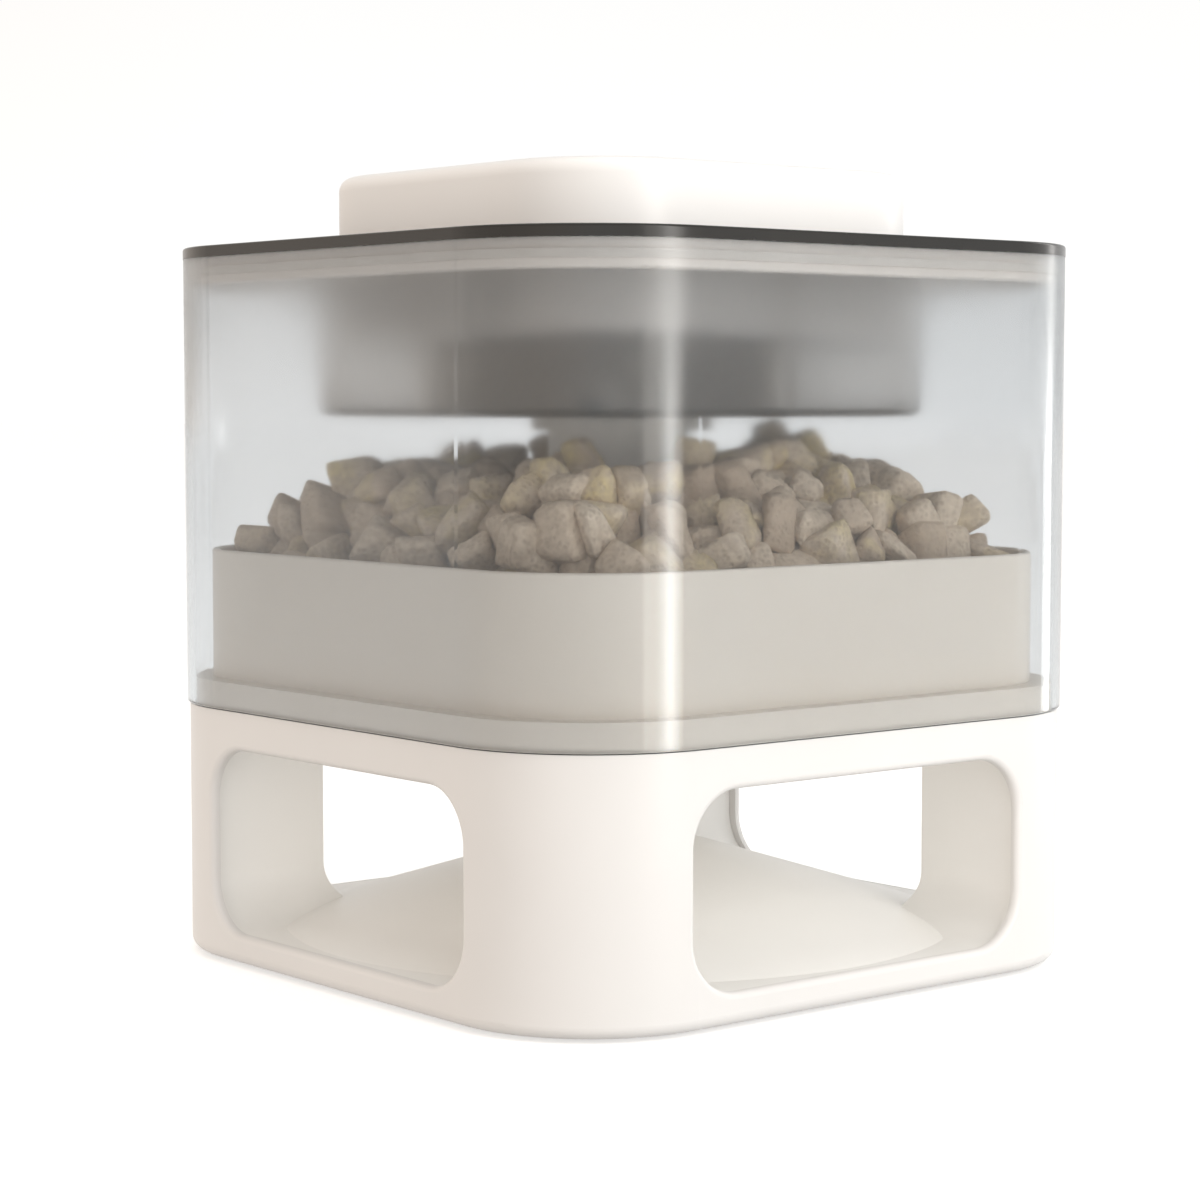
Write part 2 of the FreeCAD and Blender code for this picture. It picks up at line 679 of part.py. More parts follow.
def guide_tower():
    """The dark guide for the push tube: a bush on a flange, held by four ribs."""
    body = turned("guide_tower", [
        ("bush_radius", "well_bottom_z"), ("well_hole_radius - 0.1", "well_bottom_z"),
        ("well_hole_radius - 0.1", "well_floor_z"), ("tower_flange_radius", "well_floor_z"),
        ("tower_flange_radius", "well_floor_z + tower_flange_thick"),
        ("tower_wall_radius", "well_floor_z + tower_flange_thick"),
        ("tower_wall_radius", "tower_top_z - tower_head_thick"),
        ("tower_radius", "tower_top_z - tower_head_thick"),
        ("tower_radius", "tower_top_z"), ("bush_radius", "tower_top_z")])
    ribs = new_sketch(body, offset="well_floor_z")
    for flip in ("", "-"):
        side = box_corners("-tower_rib_thick / 2", "tower_rib_thick / 2",
                           "%s(tower_wall_radius - 2)" % flip,
                           "%s(tower_rib_reach)" % flip)
        polygon(ribs, side)
        polygon(ribs, [(up, across) for across, up in side])
    pad(body, ribs, "tower_top_z - well_floor_z")
    round_pocket(body, corners_of("tower_screw_place"), pilot, "well_floor_z",
                 "well_floor_z + tower_flange_thick")
    return body


def stop_pads():
    pieces = [cylinder("stop_pad_%d" % number, "pad_radius", "pad_tall",
                       (across, up, "well_floor_z"))
              for number, (across, up) in enumerate(corners_of("pad_place"), start=1)]
    return group("stop_pads", pieces)


# -------------------------------------------------------------------- button

def button_cap():
    """The big white button: a hollow cap with a boss and stiffening ribs inside."""
    body = new_body("button_cap")
    square_pad(body, "button_half", "button_corner", "button_low_z", "button_top_z")
    fillet(body, "button_round", level("button_top_z"))
    sketch = new_sketch(body, offset="button_low_z")
    rounded_square(sketch, "button_inner_half", "button_inner_corner")
    pocket(body, sketch, "button_roof_z - button_low_z", up=True)
    fillet(body, "button_inner_round", level("button_roof_z"))
    boss = new_sketch(body, offset="button_roof_z + merge")
    circle(boss, "tube_radius + button_boss_wall")
    pad(body, boss, "button_roof_z + merge - button_boss_low_z", down=True)
    ribs = new_sketch(body, offset="button_roof_z + merge")
    for flip in ("", "-"):
        side = box_corners("-button_rib_thick / 2", "button_rib_thick / 2",
                           "%s(tube_radius + 1)" % flip,
                           "%s(button_inner_half + merge)" % flip)
        polygon(ribs, side)
        polygon(ribs, [(up, across) for across, up in side])
    pad(body, ribs, "button_roof_z + merge - button_rib_low_z", down=True)
    round_pocket(body, [("0", "0")], "tube_radius", "button_boss_low_z",
                 "button_boss_roof_z")
    round_pocket(body, three_round("cap_screw_place"), pilot, "button_boss_roof_z",
                 "button_boss_roof_z + 3.6")
    return body


def three_round(place):
    """Three places at 120 degrees on a circle."""
    return [("%s * %s" % (place, cosine), "%s * %s" % (place, sine))
            for cosine, sine in THIRDS]


def push_tube():
    """The tube from the button down to the valve, closed by a web near each end."""
    body = turned("push_tube", [
        ("tube_inner", "valve_shoulder_z"), ("tube_radius", "valve_shoulder_z"),
        ("tube_radius", "button_boss_roof_z"), ("tube_inner", "button_boss_roof_z")])
    round_pad(body, [("0", "0")], "tube_inner + merge", "tube_low_web_z",
              "tube_low_web_z + tube_web")
    round_pad(body, [("0", "0")], "tube_inner + merge", "button_boss_roof_z - tube_web",
              "button_boss_roof_z")
    round_pocket(body, [("0", "0")], "valve_bolt_radius + 0.1", "tube_low_web_z",
                 "tube_low_web_z + tube_web")
    round_pocket(body, three_round("cap_screw_place"), pilot,
                 "button_boss_roof_z - tube_web", "button_boss_roof_z")
    return body


def stop_ring():
    """The ring on the tube that keeps the button from rising out of the lid."""
    return turned("stop_ring", box_corners("tube_radius", "stop_ring_radius", "stop_ring_z",
                                           "stop_ring_z + stop_ring_tall"))


def agitator():
    """Three fins on a sleeve that loosen the food when the button is pressed."""
    body = turned("agitator", box_corners(
        "tube_radius", "tube_radius + agitator_wall", "agitator_low_z + 5",
        "agitator_low_z + agitator_tall - 5"))
    fins = new_sketch(body, offset="agitator_low_z")
    half = "agitator_thick / 2"
    inner = "(tube_radius + 0.4)"
    for cosine, sine in THIRDS:
        polygon(fins, [
            ("%s * %s - (%s) * %s" % (reach, cosine, width, sine),
             "%s * %s + (%s) * %s" % (reach, sine, width, cosine))
            for reach, width in ((inner, "-" + half), ("agitator_reach", "-" + half),
                                 ("agitator_reach", half), (inner, half))])
    pad(body, fins, "agitator_tall")
    return body


def valve_cone():
    """The conical valve that closes the outlet, hollow under, with a plug for the tube."""
    body = turned("valve_cone", [
        ("0", "valve_hollow_z"), ("valve_radius", "valve_rim_z"),
        ("valve_radius", "valve_rim_z + valve_rim_tall"),
        ("tube_radius", "valve_shoulder_z"), ("tube_inner - 0.1", "valve_shoulder_z"),
        ("tube_inner - 0.1", "tube_low_web_z"), ("0", "tube_low_web_z")])
    seat = "valve_hollow_z - 1 + valve_bolt_head_tall"
    bolt = new_sketch(body, offset="tube_low_web_z")
    circle(bolt, "valve_bolt_radius + 0.1")
    pocket(body, bolt, "tube_low_web_z - valve_rim_z")
    head = new_sketch(body, offset=seat)
    circle(head, "valve_bolt_head + 0.3")
    pocket(body, head, "%s - valve_rim_z" % seat)
    groove = new_sketch(body, role="XZ_Plane")
    polygon(groove, seal_tongue("valve_radius + 1"))
    turn(body, groove, cut=True)
    return body


def seal_tongue(outer):
    middle = "valve_rim_z + valve_rim_tall / 2"
    return box_corners("valve_radius - seal_tongue", outer,
                       "%s - seal_tongue_tall / 2" % middle,
                       "%s + seal_tongue_tall / 2" % middle)


def valve_seal():
    """The soft lip round the valve."""
    tongue = seal_tongue("valve_radius")
    top = "valve_rim_z + valve_rim_tall"
    return turned("valve_seal", [
        tongue[0], tongue[1], ("valve_radius", "valve_rim_z"),
        ("valve_seal_radius - 0.6", "valve_rim_z"),
        ("valve_seal_radius", "valve_rim_z + 0.8"), ("valve_seal_radius", top + " - 0.8"),
        ("valve_seal_radius - 0.6", top), ("valve_radius", top), tongue[2], tongue[3]])


def valve_bolt():
    """The bolt up through the valve into the tube's lower web."""
    seat = "valve_hollow_z - 1 + valve_bolt_head_tall"
    body = turned("valve_bolt", [
        ("0", seat + " - valve_bolt_head_tall"), ("valve_bolt_head", seat + " - valve_bolt_head_tall"),
        ("valve_bolt_head", seat), ("valve_bolt_radius", seat),
        ("valve_bolt_radius", "tube_low_web_z + tube_web + nut_tall + 1"),
        ("0", "tube_low_web_z + tube_web + nut_tall + 1")])
    return body


def valve_nut():
    body = new_body("valve_nut")
    sketch = new_sketch(body, offset="tube_low_web_z + tube_web")
    polygon(sketch, [("nut_radius * %s" % cosine, "nut_radius * %s" % sine)
                     for cosine, sine in SIXTHS])
    circle(sketch, "valve_bolt_radius + 0.1")
    pad(body, sketch, "nut_tall")
    return body


def spring_washer():
    return turned("spring_washer", box_corners("washer_inner", "washer_outer", "washer_z",
                                               "washer_z + washer_thick"))


def return_spring():
    """An open coil round the push tube, as half turns that climb half a pitch each.

    Each half turn is half a torus, tilted about the Y axis so that one end is half
    a pitch above the other; its ends lie in the XZ plane, where the next one joins.
    """
    rise = "(spring_tall / spring_turns / 4)"
    tilt = math.degrees(math.atan(size(rise) / size("spring_radius")))
    halves = []
    for number in range(round(2 * size("spring_turns"))):
        half = doc.addObject("Part::Torus", "spring_half_%d" % number)
        half.setExpression("Radius1", dim("(spring_radius ^ 2 + %s ^ 2) ^ 0.5" % rise))
        half.setExpression("Radius2", dim("spring_wire"))
        half.Angle3 = 180
        half.Placement.Rotation = (FreeCAD.Rotation(Vector(0, 0, 1), 180 * number)
                                   * FreeCAD.Rotation(Vector(0, 1, 0), tilt))
        put(half, ("0", "0", "spring_low_z + %s * %d" % (rise, 2 * number + 1)))
        halves.append(half)
    spring = fused("return_spring", halves)
    spring.Label = "return_spring"
    return spring


# ------------------------------------------------------------------ assembly

NODES = [
    base_shell(), launch_ramp(), chute_deck(), base_plate(), feet(), outlet_collar(),
    food_bowl(), hopper_cover(), cover_gasket(),
    screws("base_screws", columns, "shell_bottom_z + screw_head_tall", "base_screw_long",
           head_up=False),
    screws("deck_screws", columns, "deck_top_z", "deck_screw_long"),
    screws("bowl_screws", corners_of("bowl_boss_place"), "window_high_z + screw_head_tall",
           "bowl_screw_long", head_up=False),
    lid_plate(), lid_frame(), lid_seal(), button_well(), guide_tower(), stop_pads(),
    screws("tower_screws", corners_of("tower_screw_place"),
           "well_floor_z + tower_flange_thick", "tower_screw_long"),
    button_cap(), push_tube(), stop_ring(), agitator(), valve_cone(), valve_seal(),
    valve_bolt(), valve_nut(), spring_washer(), return_spring(),
    screws("cap_screws", three_round("cap_screw_place"), "button_boss_roof_z - tube_web",
           "cap_screw_long", head_up=False),
]
doc.recompute()

for item in doc.Objects:
    if "Invalid" in item.State or "Error" in item.State:
        raise RuntimeError("%s did not build: %s" % (item.Label, item.State))
for node in NODES:
    shape = node.Shape
    if shape.isNull() or not shape.isValid() or not shape.Solids:
        raise RuntimeError("%s has no valid solid" % node.Label)
    shape.exportStep("parts/%s.step" % node.Label)
    box = shape.BoundBox
    print("%-14s solids %d  volume %9.0f  z %6.1f to %6.1f  reach %5.1f"
          % (node.Label, len(shape.Solids), shape.Volume, box.ZMin, box.ZMax, box.XMax))
print("nodes", len(NODES))
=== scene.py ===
import json
import math
import random

import bpy
from mathutils import Euler, Matrix, Vector


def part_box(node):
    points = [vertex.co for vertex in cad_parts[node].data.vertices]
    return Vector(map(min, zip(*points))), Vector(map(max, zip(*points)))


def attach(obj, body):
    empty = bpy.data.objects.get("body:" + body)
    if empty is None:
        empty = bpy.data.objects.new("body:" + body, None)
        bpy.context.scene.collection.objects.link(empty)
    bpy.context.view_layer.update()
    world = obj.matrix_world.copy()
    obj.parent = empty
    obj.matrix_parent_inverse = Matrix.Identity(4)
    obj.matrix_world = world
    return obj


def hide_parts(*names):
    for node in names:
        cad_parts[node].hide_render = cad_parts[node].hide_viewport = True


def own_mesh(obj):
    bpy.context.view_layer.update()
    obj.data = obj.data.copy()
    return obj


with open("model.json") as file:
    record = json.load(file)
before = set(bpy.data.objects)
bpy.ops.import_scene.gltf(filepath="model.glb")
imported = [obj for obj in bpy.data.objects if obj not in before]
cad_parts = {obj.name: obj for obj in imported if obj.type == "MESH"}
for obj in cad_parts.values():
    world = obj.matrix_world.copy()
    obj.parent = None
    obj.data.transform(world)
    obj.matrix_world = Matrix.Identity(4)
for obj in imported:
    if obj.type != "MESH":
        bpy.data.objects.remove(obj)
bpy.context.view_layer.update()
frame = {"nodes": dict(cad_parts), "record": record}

# A push-button pet feeder.  The frame holds every moulded and turned piece; this
# script gives each its finish, winds the return spring and pours in the dry food,
# then sets the floor, the lights and the camera.
# Lengths are in metres, and MM turns millimetres into metres.

MM = 0.001
nodes = frame["nodes"]


# ------------------------------------------------------------ shader writing

class Value:
    """A number on a socket, so that shader maths can be written as Python."""

    def __init__(self, mixer, socket):
        self.mixer = mixer
        self.socket = socket

    def __add__(self, other):
        return self.mixer.maths("ADD", self, other)

    def __radd__(self, other):
        return self.mixer.maths("ADD", other, self)

    def __sub__(self, other):
        return self.mixer.maths("SUBTRACT", self, other)

    def __rsub__(self, other):
        return self.mixer.maths("SUBTRACT", other, self)

    def __mul__(self, other):
        return self.mixer.maths("MULTIPLY", self, other)

    def __rmul__(self, other):
        return self.mixer.maths("MULTIPLY", other, self)


class Mixer:
    """A node tree being written, for a finish or for the room's light."""

    def __init__(self, tree, coordinates):
        self.tree = tree
        self.place = self.node("ShaderNodeTexCoord").outputs[coordinates]

    def node(self, kind, settings=None, inputs=None):
        """Add a node: its settings first, then the values or links of its sockets."""
        made = self.tree.nodes.new(kind)
        for label, value in (settings or {}).items():
            setattr(made, label, value)
        for label, value in (inputs or {}).items():
            self.feed(made.inputs[label], value)
        return made

    def feed(self, socket, value):
        """Link a value to a socket, or set the socket where the value is a constant."""
        if isinstance(value, Value):
            value = value.socket
        if isinstance(value, bpy.types.NodeSocket):
            self.tree.links.new(value, socket)
        else:
            socket.default_value = value

    def maths(self, operation, first, second):
        made = self.node("ShaderNodeMath", {"operation": operation}, {0: first, 1: second})
        return Value(self, made.outputs[0])

    def axes(self):
        """The three coordinates as separate numbers."""
        made = self.node("ShaderNodeSeparateXYZ", None, {0: self.place})
        return [Value(self, made.outputs[axis]) for axis in "XYZ"]

    def clamp(self, value):
        """Hold a number between 0 and 1."""
        made = self.node("ShaderNodeClamp", None, {"Value": value})
        return Value(self, made.outputs[0])

    def noise(self, scale, detail=2.0, rough=0.5):
        """Cloudy noise from 0 to 1, with scale in cycles a metre."""
        made = self.node("ShaderNodeTexNoise", None, {
            "Vector": self.place, "Scale": scale, "Detail": detail, "Roughness": rough})
        return Value(self, made.outputs[0])

    def cells(self, scale):
        """Distance to the nearest of scattered points, with scale in cells a metre."""
        made = self.node("ShaderNodeTexVoronoi", {"feature": "F1"}, {
            "Vector": self.place, "Scale": scale})
        return Value(self, made.outputs["Distance"])

    def attribute(self, name):
        """A number kept on the piece's own mesh."""
        made = self.node("ShaderNodeAttribute", {"attribute_name": name})
        return Value(self, made.outputs["Fac"])

    def blend(self, factor, one, other):
        """A colour part way from one to the other."""
        made = self.node("ShaderNodeMix", {"data_type": "RGBA"}, {0: factor, 6: one, 7: other})
        return made.outputs[2]

    def spread(self, value, low, high):
        """Stretch the middle of a noise so that low to high becomes 0 to 1."""
        made = self.node("ShaderNodeMapRange", None, {
            "Value": value, "From Min": low, "From Max": high})
        return Value(self, made.outputs[0])


class Recipe(Mixer):
    """One finish: a material, its node tree and its shader."""

    def __init__(self, name, **settings):
        self.material = bpy.data.materials.new(name)
        self.material.use_nodes = True
        super().__init__(self.material.node_tree, "Object")
        self.shader = self.tree.nodes["Principled BSDF"]
        for label, value in settings.items():
            self.shader.inputs[label.replace("_", " ")].default_value = value

    def finish(self, **sockets):
        """Link what varies over the surface to the shader."""
        for label, value in sockets.items():
            self.feed(self.shader.inputs[label.replace("_", " ")], value)
        return self.material

    def bump(self, height, depth, strength=1.0):
        """A normal from a height, where depth is the relief of a height of 1."""
        made = self.node("ShaderNodeBump", None, {
            "Height": height, "Distance": depth, "Strength": strength})
        return made.outputs["Normal"]


def tint(red, green, blue):
    """A colour as a shader socket takes it."""
    return (red, green, blue, 1.0)


# ------------------------------------------------------------------ finishes

def moulded_white(name, light, shade, gloss):
    """Satin moulded plastic: faint flow clouds and a very fine tool texture."""
    recipe = Recipe(name, Specular_IOR_Level=0.5)
    clouds = recipe.spread(recipe.noise(28.0, 3.0), 0.3, 0.7)
    grain = recipe.noise(2600.0, 2.0)
    return recipe.finish(
        Base_Color=recipe.blend(clouds, shade, light),
        Roughness=gloss - 0.03 + 0.06 * clouds + 0.05 * grain,
        Normal=recipe.bump(grain + 0.3 * recipe.noise(300.0), 0.008 * MM))


def smoked_clear(name, smoke, density, haze, frost=0.0, frost_low=0.0, frost_high=1.0):
    """See-through plastic with the smoke in its thickness, hazed, with faint wipe marks.

    frost is added to the haze from frost_low upwards, in full at frost_high.
    """
    recipe = Recipe(name, Base_Color=tint(1.0, 1.0, 1.0), Transmission_Weight=1.0,
                    IOR=1.49)
    wiped = recipe.spread(recipe.noise(22.0, 4.0, 0.6), 0.35, 0.7)
    height = recipe.clamp(recipe.spread(recipe.axes()[2], frost_low, frost_high))
    body = recipe.node("ShaderNodeVolumeAbsorption", None,
                       {"Color": smoke, "Density": density})
    recipe.tree.links.new(body.outputs[0],
                          recipe.tree.nodes["Material Output"].inputs["Volume"])
    return recipe.finish(
        Roughness=haze + 0.02 * wiped + frost * height,
        Normal=recipe.bump(recipe.noise(45.0, 1.0), 0.02 * MM))


def smoked_dark(name, light, dark, gloss):
    """Smoked plastic too deep to see through, polished, with faint wipe marks."""
    recipe = Recipe(name, Specular_IOR_Level=0.35, Coat_Roughness=0.08)
    wiped = recipe.spread(recipe.noise(26.0, 4.0, 0.6), 0.35, 0.7)
    return recipe.finish(
        Base_Color=recipe.blend(wiped, dark, light),
        Roughness=gloss + 0.08 * wiped,
        Coat_Weight=0.2 - 0.08 * wiped,
        Normal=recipe.bump(recipe.noise(45.0, 1.0), 0.02 * MM))


def dark_acetal():
    """Grey-brown acetal of the guide tower, slightly cloudy and satin."""
    recipe = Recipe("dark_acetal")
    clouds = recipe.noise(60.0, 3.0)
    return recipe.finish(
        Base_Color=recipe.blend(clouds, tint(0.38, 0.335, 0.285), tint(0.46, 0.41, 0.35)),
        Roughness=0.42 + 0.1 * clouds,
        Normal=recipe.bump(recipe.noise(1800.0), 0.02 * MM))


def matt_rubber(name, light, dark):
    """Soft rubber or silicone with a little dust on it."""
    recipe = Recipe(name, Specular_IOR_Level=0.35)
    dust = recipe.spread(recipe.noise(120.0, 5.0, 0.65), 0.4, 0.75)
    return recipe.finish(
        Base_Color=recipe.blend(dust, dark, light),
        Roughness=0.68 + 0.18 * dust,
        Normal=recipe.bump(recipe.noise(1500.0, 3.0), 0.03 * MM))


def plated_steel(name, light, dark, gloss):
    """Zinc-plated or drawn steel with a fine streaked grain."""
    recipe = Recipe(name, Metallic=1.0)
    spangle = recipe.spread(recipe.noise(900.0, 3.0), 0.3, 0.7)
    return recipe.finish(
        Base_Color=recipe.blend(spangle, dark, light),
        Roughness=gloss + 0.12 * spangle,
        Normal=recipe.bump(recipe.noise(3200.0), 0.008 * MM))


def baked_food():
    """Baked dry food: toasted brown with paler, yellower patches on some pieces and an open
    crumb.
    """
    recipe = Recipe("baked_food", Specular_IOR_Level=0.25)
    toast = recipe.attribute("toast")
    crumb = recipe.noise(420.0, 5.0, 0.65)
    patches = recipe.spread(recipe.noise(95.0, 3.0), 0.42, 0.66)
    pits = recipe.spread(recipe.cells(700.0), 0.1, 0.55)
    brown = recipe.blend(toast, tint(0.58, 0.46, 0.35), tint(0.84, 0.72, 0.58))
    golden = recipe.blend(recipe.clamp(patches * recipe.attribute("gold")), brown,
                          tint(0.78, 0.64, 0.28))
    # The colour falls to the dark brown where the crumb and the pits sink in, the same places
    # the bump lowers. This is partly the food's own darker crust and partly painted shade in
    # the hollows.
    crust_and_pit_shade = 0.4 + 0.6 * recipe.clamp(recipe.spread(crumb, 0.3, 0.62) * pits)
    crust_with_pit_shade = recipe.blend(crust_and_pit_shade, tint(0.48, 0.37, 0.27), golden)
    return recipe.finish(
        Base_Color=crust_with_pit_shade,
        Roughness=0.72 + 0.2 * crumb,
        Normal=recipe.bump(crumb + 0.6 * pits, 0.45 * MM, 0.8))


FINISHES = {
    # shell_white is a darker copy of the white plastic of the chute, the cap and the lid:
    # painted shade on the base's outer walls.
    "shell_white": moulded_white("shell_white", tint(0.815, 0.80, 0.785),
                                 tint(0.79, 0.775, 0.76), 0.34),
    "chute_white": moulded_white("chute_white", tint(0.95, 0.94, 0.915),
                                 tint(0.93, 0.92, 0.895), 0.38),
    "bowl_white": moulded_white("bowl_white", tint(0.97, 0.895, 0.805),
                                tint(0.95, 0.87, 0.775), 0.36),
    "lid_white": moulded_white("lid_white", tint(0.95, 0.885, 0.83),
                               tint(0.93, 0.865, 0.81), 0.42),
    "cap_white": moulded_white("cap_white", tint(0.94, 0.93, 0.92),
                               tint(0.925, 0.91, 0.895), 0.32),
    "tube_white": moulded_white("tube_white", tint(0.93, 0.885, 0.82),
                                tint(0.90, 0.855, 0.79), 0.42),
    "cover_smoke": smoked_clear("cover_smoke", tint(0.36, 0.43, 0.48), 138.0, 0.04,
                                frost=0.20, frost_low=124 * MM, frost_high=162 * MM),
    "lid_smoke": smoked_dark("lid_smoke", tint(0.022, 0.020, 0.017),
                             tint(0.014, 0.013, 0.011), 0.20),
    "well_smoke": smoked_clear("well_smoke", tint(0.50, 0.34, 0.18), 48.0, 0.32),
    "tower_dark": dark_acetal(),
    "foot_rubber": matt_rubber("foot_rubber", tint(0.06, 0.06, 0.06), tint(0.03, 0.03, 0.03)),
    "gasket_rubber": matt_rubber("gasket_rubber", tint(0.05, 0.05, 0.05),
                                 tint(0.02, 0.02, 0.02)),
    "seal_silicone": matt_rubber("seal_silicone", tint(0.84, 0.79, 0.74),
                                 tint(0.78, 0.73, 0.68)),
    "screw_steel": plated_steel("screw_steel", tint(0.66, 0.66, 0.67),
                                tint(0.50, 0.50, 0.51), 0.26),
    "spring_steel": plated_steel("spring_steel", tint(0.60, 0.60, 0.61),
                                 tint(0.42, 0.42, 0.43), 0.22),
}


def finish_frame():
    """Give every piece of the frame the finish of its slot."""
    for part in frame["record"]["subparts"]:
        mesh = nodes[part["node"]].data
        mesh.materials.clear()
        mesh.materials.append(FINISHES[part["material_slot"]])


# ------------------------------------------------------------------ modelling

def deselect():
    """An operator acts on all that is selected, so nothing is left selected."""
    for item in bpy.context.selected_objects:
        item.select_set(False)


def begin(name):
    """Name the primitive just added."""
    item = bpy.context.active_object
    item.name = name
    item.data.name = name
    return item


def apply_modifier(item, kind, **settings):
    """Put a modifier on a piece with these settings, and apply it."""
    modifier = item.modifiers.new(kind.title(), kind)
    for label, value in settings.items():
        setattr(modifier, label, value)
    bpy.context.view_layer.objects.active = item
    bpy.ops.object.modifier_apply(modifier=modifier.name)


def settle(item):
    """Move the object's own place into its mesh."""
    deselect()
    item.select_set(True)
    bpy.context.view_layer.objects.active = item
    bpy.ops.object.transform_apply(location=True, rotation=True, scale=True)


# --------------------------------------------------------------- return spring

SPRING_WIRE = 1.1 * MM       # radius of the wire
SPRING_TURNS = 4.5
SPRING_SIDES = 14            # flats round the wire
SPRING_STEPS = 40            # steps in a turn


def return_spring():
    """One open coil, wound from a round section by a screw modifier."""
    low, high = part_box("return_spring")
    coil_radius = high.x - SPRING_WIRE
    steps = int(SPRING_TURNS * SPRING_STEPS)
    deselect()
    bpy.ops.mesh.primitive_circle_add(vertices=SPRING_SIDES, radius=SPRING_WIRE,
                                      fill_type="NOTHING",
                                      location=(coil_radius, 0, low.z + SPRING_WIRE),
                                      rotation=(math.pi / 2, 0, 0))
    coil = begin("return_spring_coil")
    settle(coil)
    apply_modifier(coil, "SCREW", axis="Z", angle=SPRING_TURNS * math.tau,
                   screw_offset=high.z - low.z - 2 * SPRING_WIRE, steps=steps,
                   render_steps=steps, use_smooth_shade=True)
    bpy.ops.object.mode_set(mode="EDIT")
    bpy.ops.mesh.select_all(action="SELECT")
    bpy.ops.mesh.fill_holes(sides=0)
    bpy.ops.mesh.normals_make_consistent(inside=False)
    bpy.ops.object.mode_set(mode="OBJECT")
    coil.data.materials.append(FINISHES["spring_steel"])
    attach(coil, "lid")
    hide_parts("return_spring")
    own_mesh(coil)


# -------------------------------------------------------------------- dry food

FOOD_SEED = 805
FOOD_SHAPES = 9              # how many shapes are modelled and copied
FOOD_STEP = 10.6 * MM        # distance between neighbours
LAYER_STEP = 0.78 * FOOD_STEP
SCATTER = 2.2 * MM           # how far a piece is pushed off its place in a layer
LIFT = 2.0 * MM              # how far it is pushed up or down
BOWL_HALF = 80.5 * MM        # inside of the bowl's wall: half its width,
BOWL_CORNER = 29.0 * MM      # and the radius of its corners
HEAP_TOP = 127 * MM          # height of the heap's crown, at the middle of a piece
HEAP_CROWN = 39 * MM         # how far in from the bowl's wall the crown begins
HEAP_EDGE = 5 * MM           # how near the bowl's wall a piece's middle comes over
                             # the rim,
LOW_EDGE = 9 * MM            # and below it
HEAP_DEEP = 17 * MM          # how far under the rim the lowest layer is
HEAP_SKIN = 30 * MM          # how deep the heap is filled under its surface
HEAP_DIP = 6 * MM            # depth of the hollow round the push tube
HEAP_LUMP = 3.0 * MM         # height of the waves in its surface
TUBE_ROOM = 27.5 * MM        # clear radius round the push tube
RING_ROOM = 33.5 * MM        # clear radius where the stop ring comes down
RING_LOW = 107 * MM          # height above which that room is left


def wall_distance(across, along, half, corner):
    """How far a place is inside a rounded square."""
    out_across = abs(across) - (half - corner)
    out_along = abs(along) - (half - corner)
    outside = math.hypot(max(out_across, 0.0), max(out_along, 0.0))
    return corner - outside - min(max(out_across, out_along), 0.0)


def heap_height(across, along, inside, rim):
    """Height of the heap's surface: a crown with a dip in it, sloping to the bowl's rim."""
    dip = HEAP_DIP * math.exp(-(math.hypot(across, along) / (26 * MM)) ** 2)
    lumps = HEAP_LUMP * math.sin(across * 95 + 0.8) * math.sin(along * 83 - 0.5)
    fall = (HEAP_CROWN - inside) / (HEAP_CROWN - HEAP_EDGE)
    fall = min(max(fall, 0.0), 1.0)
    return HEAP_TOP - dip + lumps - fall ** 1.1 * (HEAP_TOP - rim - 2 * MM)


def food_shape(number, dice):
    """One baked piece, from a cube: tapered, leant over, knocked about and rounded."""
    deselect()
    bpy.ops.mesh.primitive_cube_add(size=1)
    item = begin("food_shape_%d" % number)
    sides = [dice.uniform(12.0, 15.0) * MM, dice.uniform(9.8, 12.2) * MM,
             dice.uniform(8.2, 10.4) * MM]
    lean = dice.uniform(-0.3, 0.3)
    waist = dice.uniform(0.0, 0.45)
    for point in item.data.vertices:
        across, along, up = point.co
        narrow = 1 - waist * (across + 0.5)
        knock = [dice.uniform(-0.18, 0.18) for _ in range(3)]
        point.co = ((across + knock[0]) * sides[0],
                    (along * narrow + lean * up + knock[1]) * sides[1],
                    (up * narrow + knock[2]) * sides[2])
    apply_modifier(item, "BEVEL", width=dice.uniform(2.0, 2.8) * MM, segments=2,
                   limit_method="NONE")
    item.data.shade_smooth()
    return item


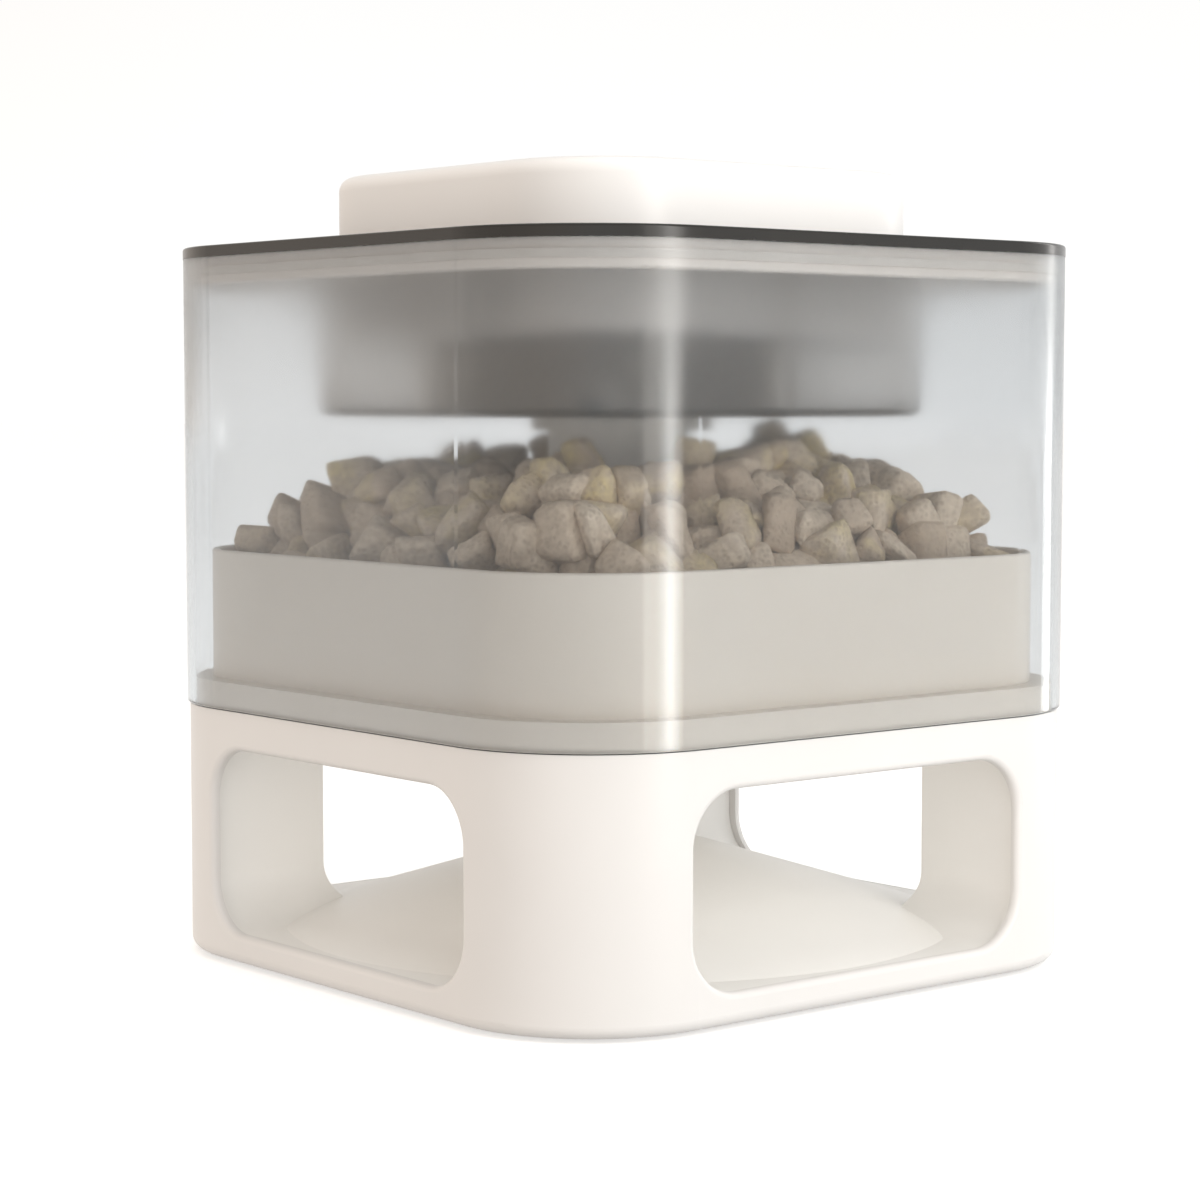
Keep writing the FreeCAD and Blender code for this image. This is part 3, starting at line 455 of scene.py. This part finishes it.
def dry_food():
    """The heap in the hopper: a few shapes copied, turned and stacked in loose layers."""
    dice = random.Random(FOOD_SEED)
    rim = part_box("food_bowl")[1].z
    shapes = [food_shape(number, dice) for number in range(FOOD_SHAPES)]
    copies = []
    layer = 0
    height = rim - HEAP_DEEP
    while height < HEAP_TOP + 3 * MM:
        rows = int(BOWL_HALF / FOOD_STEP) + 2
        for row in range(-rows, rows):
            for column in range(-rows, rows):
                across = (column + 0.5 * (row % 2) + 0.33 * (layer % 3)) * FOOD_STEP
                along = (row * 0.87 + 0.29 * (layer % 3)) * FOOD_STEP
                across += dice.uniform(-1, 1) * SCATTER
                along += dice.uniform(-1, 1) * SCATTER
                up = height + dice.uniform(-1, 1) * LIFT
                inside = wall_distance(across, along, BOWL_HALF, BOWL_CORNER)
                if inside < (HEAP_EDGE if up > rim + 2 * MM else LOW_EDGE):
                    continue
                if math.hypot(across, along) < (RING_ROOM if up > RING_LOW else TUBE_ROOM):
                    continue
                surface = heap_height(across, along, inside, rim)
                if not surface - HEAP_SKIN < up < surface:
                    continue
                turn = Euler([dice.uniform(0, math.tau) for _ in range(3)])
                place = Matrix.Translation((across, along, up)) @ turn.to_matrix().to_4x4()
                scale = dice.uniform(0.84, 1.08)
                shape = dice.choice(shapes)
                piece = bpy.data.objects.new("food", shape.data.copy())
                piece.data.transform(place @ Matrix.Scale(scale, 4))
                for label, shade in (("toast", dice.random()),
                                     ("gold", max(0.0, dice.uniform(-1.1, 1.0)))):
                    band = piece.data.attributes.new(label, "FLOAT", "POINT")
                    band.data.foreach_set("value", [shade] * len(piece.data.vertices))
                bpy.context.collection.objects.link(piece)
                copies.append(piece)
        height += LAYER_STEP
        layer += 1
    deselect()
    for piece in copies:
        piece.select_set(True)
    heap = copies[0]
    bpy.context.view_layer.objects.active = heap
    bpy.ops.object.join()
    heap.name = "dry_food_heap"
    for shape in shapes:
        bpy.data.objects.remove(shape)
    heap.data.materials.clear()
    heap.data.materials.append(baked_food())
    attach(heap, "base")


# ------------------------------------------------------- floor, light, camera

def set_floor():
    """A wide pale floor, a little bright in itself, that throws no light on the feeder."""
    deselect()
    bpy.ops.mesh.primitive_circle_add(vertices=96, radius=14, fill_type="NGON")
    floor = begin("pale_floor")
    recipe = Recipe("pale_paper", Roughness=0.9, Specular_IOR_Level=0.1)
    cloud = recipe.noise(2.0)
    recipe.shader.inputs["Emission Strength"].default_value = 0.40
    recipe.finish(Base_Color=recipe.blend(cloud, tint(0.93, 0.93, 0.925),
                                          tint(0.95, 0.95, 0.945)),
                  Emission_Color=tint(1.0, 1.0, 1.0))
    floor.data.materials.append(recipe.material)
    floor.visible_diffuse = False


def soft_box(name, place, aim, wide, tall, radiance, colour):
    """A rectangular soft light at place, facing aim, that the camera doesn't see."""
    light = bpy.data.lights.new(name, "AREA")
    light.shape = "RECTANGLE"
    light.size = wide
    light.size_y = tall
    light.energy = radiance * math.pi * wide * tall
    light.color = colour
    lamp = bpy.data.objects.new(name, light)
    bpy.context.collection.objects.link(lamp)
    lamp.location = place
    lamp.rotation_euler = (Vector(aim) - Vector(place)).to_track_quat("-Z", "Y").to_euler()
    lamp.visible_camera = False


def around(bearing, distance, height):
    """A place round the feeder: bearing 0 is +X and 90 is +Y, in degrees."""
    angle = math.radians(bearing)
    return (math.cos(angle) * distance, math.sin(angle) * distance, height)


STRIP_MIDDLE = 0.27          # height of the middle of the strip lights
STRIP_TALL = 0.56


def set_light():
    """A pale room, brightest round the horizon and warm on the left, and tall strips.

    The strips show as soft upright streaks in the cover.
    """
    world = bpy.data.worlds.new("pale_room")
    world.use_nodes = True
    room = Mixer(world.node_tree, "Generated")
    east, north, up = room.axes()
    back = room.clamp(0.1 + 0.9 * east + 1.08 * north)
    left = room.clamp(0.1 - 1.1 * east)
    right = room.clamp(0.1 - 1.1 * north)
    warm = room.clamp(0.9 * north - 1.4 * east)
    glow = room.blend(warm, tint(1.0, 0.995, 0.985), tint(1.0, 0.89, 0.79))
    fade = 1.1 - 0.62 * room.clamp(up) - 1.0 * room.clamp(0 - up)
    sky = world.node_tree.nodes["Background"]
    room.feed(sky.inputs["Color"], glow)
    room.feed(sky.inputs["Strength"],
              fade * (0.68 + 0.30 * back + 0.41 * left + 0.33 * right))
    bpy.context.scene.world = world
    soft_box("top_box", (0.0, 0.1, 1.9), (0, 0, 0), 1.6, 1.6, 1.0, (1.0, 0.995, 0.985))
    aim = (0, 0, STRIP_MIDDLE)
    for wide, radiance in ((0.05, 2.0), (0.10, 1.8), (0.16, 1.2)):
        soft_box("front_strip", around(278, 0.55 + wide / 50, STRIP_MIDDLE), aim,
                 wide, STRIP_TALL, radiance, (1.0, 0.985, 0.96))
    soft_box("front_glow", around(274, 0.56, STRIP_MIDDLE), aim,
             0.26, STRIP_TALL, 1.6, (1.0, 0.95, 0.88))
    soft_box("side_strip", around(346, 0.60, STRIP_MIDDLE), aim,
             0.08, STRIP_TALL, 4.0, (1.0, 0.98, 0.95))
    bpy.context.scene.view_settings.view_transform = "Standard"


def set_camera():
    """Eye a little above the feeder's middle, looking at its corner."""
    bearing = math.radians(-39.714)
    pitch = math.radians(4.078)
    yaw = math.radians(0.388)
    distance = 0.7324
    lens = bpy.data.cameras.new("eye")
    lens.sensor_width = 36.0
    lens.lens = 86.3
    eye = bpy.data.objects.new("eye", lens)
    bpy.context.collection.objects.link(eye)
    eye.location = (math.sin(bearing) * distance, -math.cos(bearing) * distance, 0.1423)
    eye.rotation_euler = (math.pi / 2 - pitch, 0, bearing + yaw)
    bpy.context.scene.camera = eye


finish_frame()
return_spring()
dry_food()
set_floor()
set_light()
set_camera()
